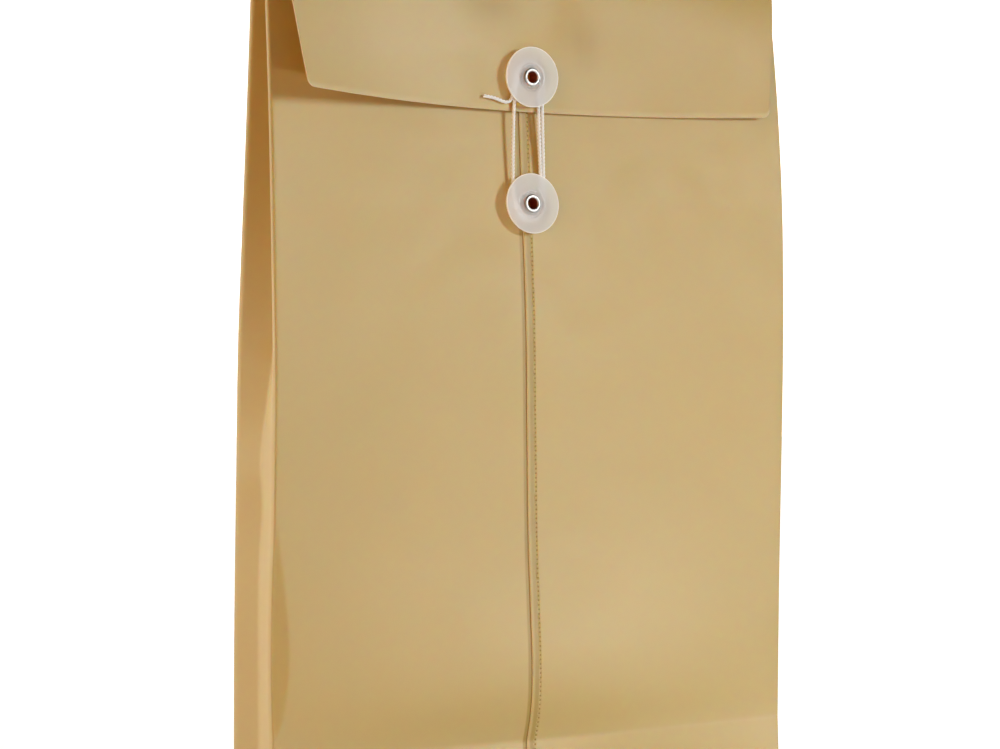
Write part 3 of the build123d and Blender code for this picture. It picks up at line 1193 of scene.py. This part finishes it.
def build_string():
    path = spline_points(winding_points())
    line, at = even_points(path, strand_step)
    tangents = np.gradient(line, axis=0)
    tangents /= np.linalg.norm(tangents, axis=1, keepdims=True)
    across = np.cross(tangents, lower_axis)
    across /= np.linalg.norm(across, axis=1, keepdims=True)
    over = np.cross(across, tangents)
    lay = string_diameter / 2 / (1 + 2 / math.sqrt(3)) * 2 / math.sqrt(3)
    bm = bmesh.new()
    for strand in range(strand_count):
        turn = 2 * math.pi * (at / strand_pitch + strand / strand_count)
        offset = lay * (np.cos(turn)[:, None] * across + np.sin(turn)[:, None] * over)
        strand_tube(bm, line + offset, string_diameter / 2 - lay, strand_sides)
    made = finish_mesh(bm, "tie_string_plied", (cotton,), strand_sharp_angle)
    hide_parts("tie_string")
    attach(made, "front")
    build_knot()
    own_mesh(made)


# Carried-over nodes and stage


def dress_nodes():
    for name in ("bottom_back_flap", "bottom_front_flap", "bottom_left_tuck", "bottom_right_tuck"):
        mesh = frame["nodes"][name].data
        mesh.materials.clear()
        mesh.materials.append(tan_sheet)


def point_light(name, light, direction):
    made = add_object(name, light)
    made.rotation_mode = "QUATERNION"
    made.rotation_quaternion = direction.to_track_quat("-Z", "Y")
    return made


def add_sun(name, place, strength, softness, colour=(1, 1, 1), shadow=True):
    """Soft sun that shines from a place towards the origin."""
    light = bpy.data.lights.new(name, "SUN")
    light.use_shadow = shadow
    light.energy = strength
    light.color = colour
    light.angle = math.radians(softness)
    point_light(name, light, -Vector(place))


def add_panel(name, place, aim, size, power, colour=(1, 1, 1), spread=180):
    """Light panel at a place, which the camera doesn't see."""
    light = bpy.data.lights.new(name, "AREA")
    light.shape = "RECTANGLE"
    light.size, light.size_y = size
    light.energy = power
    light.color = colour
    light.spread = math.radians(spread)
    made = point_light(name, light, Vector(aim) - Vector(place))
    made.location = place
    made.visible_camera = False


def build_backdrop():
    """Plain white wall far round the object, which takes no part in its light."""
    bm = bmesh.new()
    bmesh.ops.create_cone(
        bm, cap_ends=False, segments=wall_sides, radius1=wall_radius, radius2=wall_radius, depth=wall_height
    )
    wall = finish_mesh(bm, "backdrop", (wall_paper,))
    wall.visible_diffuse = False
    wall.visible_glossy = False
    wall.visible_transmission = False
    wall.visible_shadow = False


def build_stage():
    bm = bmesh.new()
    bmesh.ops.create_grid(bm, x_segments=floor_squares, y_segments=floor_squares, size=floor_half)
    floor = finish_mesh(bm, "floor", (floor_paper,))
    floor.visible_diffuse = False
    build_backdrop()

    world = bpy.data.worlds.new("studio")
    bpy.context.scene.world = world
    world.use_nodes = True
    tree = world.node_tree
    sky = tree.nodes["Background"]
    sky.inputs["Color"].default_value = (1, 1, 1, 1)
    place = tree.nodes.new("ShaderNodeTexCoord")
    split = tree.nodes.new("ShaderNodeSeparateXYZ")
    tree.links.new(place.outputs["Generated"], split.inputs["Vector"])
    strength = add_node(
        tree,
        "ShaderNodeMapRange",
        From_Min=sky_turn[0],
        From_Max=sky_turn[1],
        To_Min=sky_front,
        To_Max=sky_back,
    )
    strength.interpolation_type = "SMOOTHSTEP"
    tree.links.new(split.outputs["Y"], strength.inputs["Value"])
    tree.links.new(strength.outputs["Result"], sky.inputs["Strength"])
    add_sun("key", key_from, key_strength, key_softness, key_colour)
    add_sun("fill", key_from, fill_strength, key_softness, fill_colour, shadow=False)
    add_sun("rim", rim_from, rim_strength, rim_softness)
    add_sun("warm", warm_from, warm_strength, warm_softness, warm_colour)
    add_panel("strip", strip_place, strip_aim, strip_size, strip_power, strip_colour)
    add_panel("card", card_place, card_aim, card_size, card_power, card_colour, card_spread)


def build_camera():
    data = bpy.data.cameras.new("camera")
    data.lens = camera_lens
    data.sensor_width = camera_sensor
    data.clip_end = camera_reach
    camera = add_object("camera", data)
    camera.location = Vector(camera_place) * MM
    camera.rotation_euler = (math.pi / 2, 0, -math.radians(camera_yaw))
    bpy.context.scene.camera = camera
    bpy.context.scene.view_settings.view_transform = "Standard"


build_camera()
build_string()
build_front()
build_back()
build_gusset(-1, "left_gusset_sheet", ("left_gusset_back", "left_gusset_front"))
build_gusset(1, "right_gusset_sheet", ("right_gusset_back", "right_gusset_front"))
build_flap()
build_bead()
build_button("upper", upper_at, upper_axis, sheet, "closure_flap")
build_button("lower", lower_at, lower_axis, sheet + lap_gap, "front")
dress_nodes()
build_stage()
